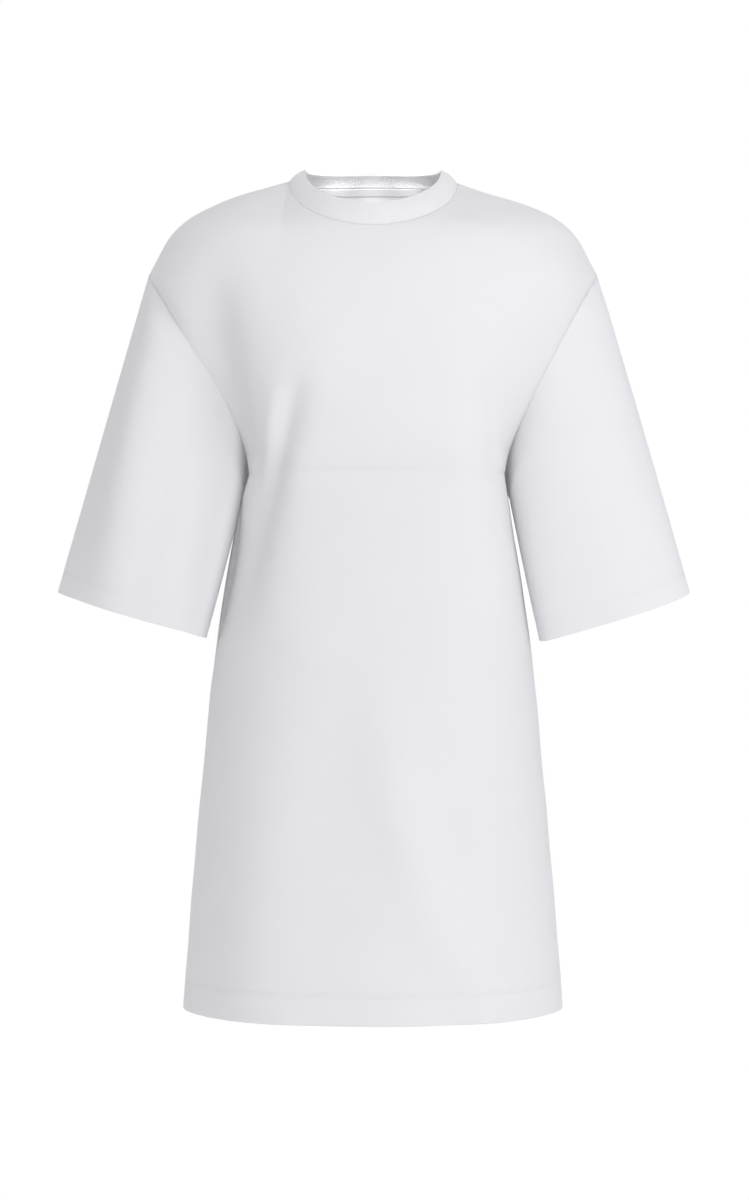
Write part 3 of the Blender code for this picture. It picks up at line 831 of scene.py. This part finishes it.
# Creases of each sleeve, in metres round from under the arm by way of its back, and down from the
# armhole: start round, down, bend round, down, end round, down, height, half width at start, at end
SLEEVE_CREASES = {
    LEFT: (
        (0.378, -0.030, 0.386, 0.150, 0.376, 0.400, -0.0025, 0.028, 0.030),
        (0.290, 0.000, 0.296, 0.180, 0.290, 0.430, 0.0025, 0.030, 0.034),
        (0.268, 0.006, 0.262, 0.028, 0.262, 0.052, -0.0010, 0.004, 0.003),
        (0.110, -0.020, 0.105, 0.150, 0.112, 0.430, -0.0040, 0.028, 0.032),
        (0.170, 0.000, 0.168, 0.180, 0.172, 0.430, 0.0025, 0.030, 0.034),
    ),
    RIGHT: (
        (0.412, -0.080, 0.416, 0.130, 0.442, 0.400, -0.0085, 0.024, 0.022),
        (0.318, -0.040, 0.345, 0.170, 0.395, 0.420, 0.0100, 0.026, 0.034),
        (0.095, -0.040, 0.090, 0.150, 0.098, 0.430, -0.0050, 0.026, 0.030),
        (0.165, 0.000, 0.160, 0.180, 0.166, 0.430, 0.0030, 0.028, 0.032),
    ),
}

sleeve_length = np.linalg.norm(np.array(CUFF_MIDDLE) + CUFF_TO_OUTSIDE - (DROP_OUT, 0, DROP_LEVEL))
middle_rows = np.linspace(CUFF_HEIGHTS[-1], sleeve_length - SEAM_STEPS[0], SLEEVE_ROWS)[1:-1]
from_cuff = np.concatenate([CUFF_HEIGHTS, middle_rows, sleeve_length - np.array(SEAM_STEPS)])
down = sleeve_length - from_cuff
share = 1 - from_cuff[:, None] / sleeve_length
sleeves = {}
cuff_lines = {}
for hand, node in ((LEFT, "left_sleeve"), (RIGHT, "right_sleeve")):
    back, front = armhole_edges[BACK][hand], armhole_edges[FRONT][hand]
    underarm = np.array([[[hand * UNDERARM_OUT, 0, UNDERARM_LEVEL]], [[0, 0, 0]]])
    ring, dip = np.concatenate([underarm, back, front[:, -2::-1]], axis=1)
    turn = 2 * math.pi * np.arange(len(ring)) / len(ring)
    power = np.where(np.cos(turn) > 0, *CUFF_POWERS)
    inwards = np.sign(np.cos(turn)) * np.abs(np.cos(turn)) ** power
    backwards = np.sign(np.sin(turn)) * np.abs(np.sin(turn)) ** power
    cuff = (
        np.array(CUFF_MIDDLE)
        - np.outer(inwards, CUFF_TO_OUTSIDE)
        + np.outer(backwards, (0, CUFF_HALF_DEPTH, CUFF_FRONT_DIP[hand]))
    ) * (hand, 1, 1)
    points = ring * (1 - share[..., None]) + cuff * share[..., None]
    points[..., 1] += SLEEVE_FULLNESS * np.sin(turn) * np.sin(math.pi * share)
    beside_body = eased(np.clip(np.cos(turn) / INNER_FOLD_SPREAD, 0, 1))
    inner_fold = INNER_FOLD_LEAN * points[..., 1] + INNER_FOLD_HOLLOW
    leaning = inner_fold * beside_body * np.minimum(1, share / INNER_FOLD_START)
    # The side beside the body moves along the cuff's own slope.
    points += leaning[..., None] * np.array(CUFF_TO_OUTSIDE) / CUFF_TO_OUTSIDE[0] * (hand, 1, 1)
    if hand == LEFT:
        points, turn, dip = points[:, ::-1], turn[::-1], dip[::-1]
    cloth = Cloth(points, tube=True)
    round_arm = turn / (2 * math.pi) * cloth.along[len(points) // 2, -1]
    places = np.stack(np.broadcast_arrays(round_arm[None, :], down[:, None]), axis=-1)
    fade = np.clip(down / CREASE_START, 0, 1)[:, None]
    cloth.push(crease_heights(places, SLEEVE_CREASES[hand]) * fade)
    up = cloth.up[:, :-1]
    cloth.push(hem_pull(up, cloth.along[:, :-1], CUFF_ROWS, CUFF_TURN_UP, seed=31 + hand))
    cloth.points += dip * (seam_dip(up[-1:] - up) / -SEAM_DIP)[..., None]
    cuff_lines[hand] = [cloth.line_at(height) for height in CUFF_ROWS]
    thickness = np.where(from_cuff < CUFF_TURN_UP + HEM_SLACK, 2 * JERSEY, JERSEY)
    sleeves[hand] = cloth.finish(node + "_jersey", thickness, jersey.material)
    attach(sleeves[hand], "root")
    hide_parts(node)


# ---- Collar -------------------------------------------------------------------------------------
# One strip of white cotton rib, folded double along its free edge and sewn round the neck. Its ribs are
# one stitch wide and run from the seam to the fold.

COLLAR_EDGE_OUT = 0.0700
COLLAR_EDGE_FRONT = 0.0775
COLLAR_EDGE_BACK = 0.0650
COLLAR_EDGE_LEVEL = 0.0030
COLLAR_EDGE_FRONT_DROP = 0.0430
COLLAR_EDGE_BACK_RISE = 0.0050
COLLAR_BOW = 0.0015
RIB_DOUBLED = 0.0024
RIB_COUNT = 230
RIB_POINTS = 5  # round the neck for each rib
RIB_HEIGHT = 0.00011
RIB_AT_FOLD = 0.3  # how much of its height a rib keeps at the fold
FOLD_FADE = 0.003
SEAM_FADE = 0.002
RIB_COURSE_HEIGHT = 0.00003
RIB_FUZZ_HEIGHT = 0.00006
RIB_FUZZ_PITCH = 0.0012
COLLAR_HEIGHTS = (0, 0.03, 0.08, 0.15, 0.25, 0.37, 0.5, 0.63, 0.75, 0.85, 0.92, 0.97, 1.0)
RIB_LOW = (0.920, 0.915, 0.920)
RIB_HIGH = (0.950, 0.945, 0.950)

back_neck, front_neck = neck_edges[BACK], neck_edges[FRONT]
drawn = np.concatenate([back_neck[:, :-1], front_neck[:, :-1], back_neck[:, :1]], axis=1)
number = RIB_COUNT * RIB_POINTS
columns = np.arange(number) / number * (drawn.shape[1] - 1)
seam, dip = (
    np.stack([np.interp(columns, np.arange(len(line)), line[:, n]) for n in range(3)], axis=-1)
    for line in drawn
)
# The back's columns run from its left side to its right, so the angle turns on from there.
turn = math.pi / 2 - 2 * math.pi * columns / (4 * NECK_COLUMNS)
front_part, back_part = np.maximum(0, -np.cos(turn)), np.maximum(0, np.cos(turn))
edge = np.stack(
    [
        COLLAR_EDGE_OUT * np.sin(turn),
        COLLAR_EDGE_BACK * back_part - COLLAR_EDGE_FRONT * front_part,
        COLLAR_EDGE_LEVEL + COLLAR_EDGE_BACK_RISE * back_part**2 - COLLAR_EDGE_FRONT_DROP * front_part,
    ],
    axis=-1,
)
bow = unit(np.stack([np.sin(turn), np.cos(turn), np.ones(number)], axis=-1))
share = np.array(COLLAR_HEIGHTS)[:, None, None]
cloth = Cloth(seam * (1 - share) + edge * share + bow * COLLAR_BOW * np.sin(math.pi * share), tube=True)
ribs = np.cos(2 * math.pi * np.arange(number) / RIB_POINTS) * RIB_HEIGHT
up = cloth.up[:, :-1]
fade = np.clip((up[-1:] - up) / FOLD_FADE, RIB_AT_FOLD, 1) * np.clip(up / SEAM_FADE, 0, 1)
cloth.push(ribs[None, :] * fade)
cloth.points += dip * (seam_dip(up) / -SEAM_DIP)[..., None]

rib = ClothFinish("cotton_rib", RIB_LOW, RIB_HIGH, sheen=0.12, let_through=0.30)
rib_courses = ((rib.up / COURSE) * (2 * math.pi)).cosine() * RIB_COURSE_HEIGHT
rib.raise_by(rib_courses + rib.place.noise(RIB_FUZZ_PITCH) * RIB_FUZZ_HEIGHT)
thickness = np.full(len(COLLAR_HEIGHTS), RIB_DOUBLED)
collar = cloth.finish("rib_collar_band", thickness, rib.material, rims=(0, 0.5, 0))
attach(collar, "root")
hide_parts("rib_collar")


# ---- Neck tape ----------------------------------------------------------------------------------
# A narrow strip of twill sewn inside the back of the neck, from shoulder to shoulder, over the seam
# where the collar joins the back panel.

TAPE_CLOTH = 0.0010  # thickness of the twill, turned under
TAPE_START = 0.0010  # below the collar's seam
TAPE_GAP = 0.0004  # inside the back panel
TAPE_WIDTH = 0.011
TAPE_COLUMNS = 60
TAPE_ROWS = (0, 0.06, 0.2, 0.4, 0.6, 0.8, 0.94, 1)
TAPE_LOW = (0.925, 0.922, 0.922)
TAPE_HIGH = (0.955, 0.952, 0.952)
TWILL_PITCH = 0.0012
TWILL_HEIGHT = 0.00005

out = NECK_OUT * np.sin(np.linspace(-1, 1, TAPE_COLUMNS + 1) * math.pi / 2)[::-1]
level = neck_level(BACK, np.abs(out))
seam = on_panel(BACK, out, level)
down = unit(on_panel(BACK, out, level - TAPE_WIDTH) - seam)
from_seam = TAPE_START + TAPE_WIDTH * (1 - np.array(TAPE_ROWS))[:, None, None]
cloth = Cloth(seam + down * from_seam)
cloth.push(np.full(cloth.points.shape[:2], -(JERSEY + TAPE_GAP)))

tape = ClothFinish("cotton_twill_tape", TAPE_LOW, TAPE_HIGH, sheen=0.08, let_through=0.05)
tape.raise_by(((tape.along + tape.up) / TWILL_PITCH * (2 * math.pi)).cosine() * TWILL_HEIGHT)
thickness = np.full(len(TAPE_ROWS), TAPE_CLOTH)
neck_tape = cloth.finish("neck_tape_twill", thickness, tape.material, rims=(0.4, 0.4, 0.4))
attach(neck_tape, "root")
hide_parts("neck_tape")


# ---- Hem and cuff stitches ----------------------------------------------------------------------
# A twin needle leaves two rows of small stitches round the hem and each cuff. The thread is soft
# white cotton, and each stitch sinks a little into the jersey at its ends.

STITCH_LENGTH = 0.0025
STITCH_STEP = 0.0031
THREAD_THICKNESS = 0.00042
THREAD_LIFT = 0.00005
THREAD_FUZZ_HEIGHT = 0.00004
THREAD_FUZZ_PITCH = 0.0008
THREAD_LOW = (0.925, 0.920, 0.925)
THREAD_HIGH = (0.955, 0.950, 0.955)

thread = ClothFinish("sewing_thread", THREAD_LOW, THREAD_HIGH, sheen=0.1, let_through=0.15)
thread.raise_by(thread.place.noise(THREAD_FUZZ_PITCH) * THREAD_FUZZ_HEIGHT)

stitching = bpy.data.node_groups.new("row_of_stitches", "GeometryNodeTree")
stitching.interface.new_socket("Geometry", in_out="INPUT", socket_type="NodeSocketGeometry")
for socket_name in ("Stitch Length", "Stitch Step", "Thread Thickness"):
    stitching.interface.new_socket(socket_name, in_out="INPUT", socket_type="NodeSocketFloat")
stitching.interface.new_socket("Thread", in_out="INPUT", socket_type="NodeSocketMaterial")
stitching.interface.new_socket("Geometry", in_out="OUTPUT", socket_type="NodeSocketGeometry")


def stitch_node(kind, settings=None, inputs=None):
    """Adds a node to the stitches' tree."""
    return add_node(stitching, kind, settings, inputs)


given = stitch_node("NodeGroupInput")
outward = stitch_node(
    "GeometryNodeInputNamedAttribute", {"data_type": "FLOAT_VECTOR"}, {"Name": "outward"}
)
path = stitch_node("GeometryNodeMeshToCurve", inputs={"Mesh": given["Geometry"]})
spaced = stitch_node(
    "GeometryNodeResampleCurve",
    {"mode": "LENGTH"},
    {"Curve": path["Curve"], "Length": given["Stitch Step"]},
)
way = stitch_node("GeometryNodeInputTangent")
ahead = stitch_node("FunctionNodeAlignEulerToVector", {"axis": "X"}, {"Vector": way["Tangent"]})
lying = stitch_node(
    "FunctionNodeAlignEulerToVector",
    {"axis": "Z", "pivot_axis": "X"},
    {"Rotation": ahead["Rotation"], "Vector": outward["Attribute"]},
)
size = stitch_node(
    "ShaderNodeCombineXYZ",
    {},
    {"X": given["Stitch Length"], "Y": given["Thread Thickness"], "Z": given["Thread Thickness"]},
)
bead = stitch_node("GeometryNodeMeshUVSphere", inputs={"Segments": 6, "Rings": 5, "Radius": 0.5})
turned_bead = stitch_node(
    "GeometryNodeTransform", {}, {"Geometry": bead["Mesh"], "Rotation": (0, math.radians(90), 0)}
)
laid = stitch_node(
    "GeometryNodeInstanceOnPoints",
    {},
    {
        "Points": spaced["Curve"],
        "Instance": turned_bead["Geometry"],
        "Rotation": lying["Rotation"],
        "Scale": size["Vector"],
    },
)
real = stitch_node("GeometryNodeRealizeInstances", inputs={"Geometry": laid["Instances"]})
threaded = stitch_node(
    "GeometryNodeSetMaterial", inputs={"Geometry": real["Geometry"], "Material": given["Thread"]}
)
stitching.links.new(threaded["Geometry"], stitching.nodes.new("NodeGroupOutput").inputs["Geometry"])


def sew(name, lines, closed):
    """Lays rows of stitches along lines of points, each with its outward direction."""
    points, ways, edges = [], [], []
    for line, outward in lines:
        first = len(points)
        points += (line + outward * THREAD_LIFT).tolist()
        ways += outward.tolist()
        edges += [(first + i, first + i + 1) for i in range(len(line) - 1)]
        if closed:
            edges.append((len(points) - 1, first))
    mesh = bpy.data.meshes.new(name)
    mesh.from_pydata(points, edges, [])
    outwards = mesh.attributes.new("outward", "FLOAT_VECTOR", "POINT")
    outwards.data.foreach_set("vector", np.array(ways).reshape(-1))
    path = bpy.data.objects.new(name, mesh)
    bpy.context.scene.collection.objects.link(path)
    modifier = path.modifiers.new("stitches", "NODES")
    modifier.node_group = stitching
    sizes = {
        "Stitch Length": STITCH_LENGTH,
        "Stitch Step": STITCH_STEP,
        "Thread Thickness": THREAD_THICKNESS,
        "Thread": thread.material,
    }
    for item in stitching.interface.items_tree:
        if item.in_out == "INPUT" and item.name in sizes:
            modifier[item.identifier] = sizes[item.name]
    evaluated = path.evaluated_get(bpy.context.evaluated_depsgraph_get())
    sewn = bpy.data.meshes.new_from_object(evaluated)
    path.modifiers.remove(modifier)
    path.data = sewn
    bpy.data.meshes.remove(mesh)
    sewn.shade_smooth()
    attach(path, "root")
    return path


front_hem = sew("front_hem_stitches", hem_lines[FRONT], closed=False)
back_hem = sew("back_hem_stitches", hem_lines[BACK], closed=False)
left_cuff = sew("left_cuff_stitches", cuff_lines[LEFT], closed=True)
right_cuff = sew("right_cuff_stitches", cuff_lines[RIGHT], closed=True)
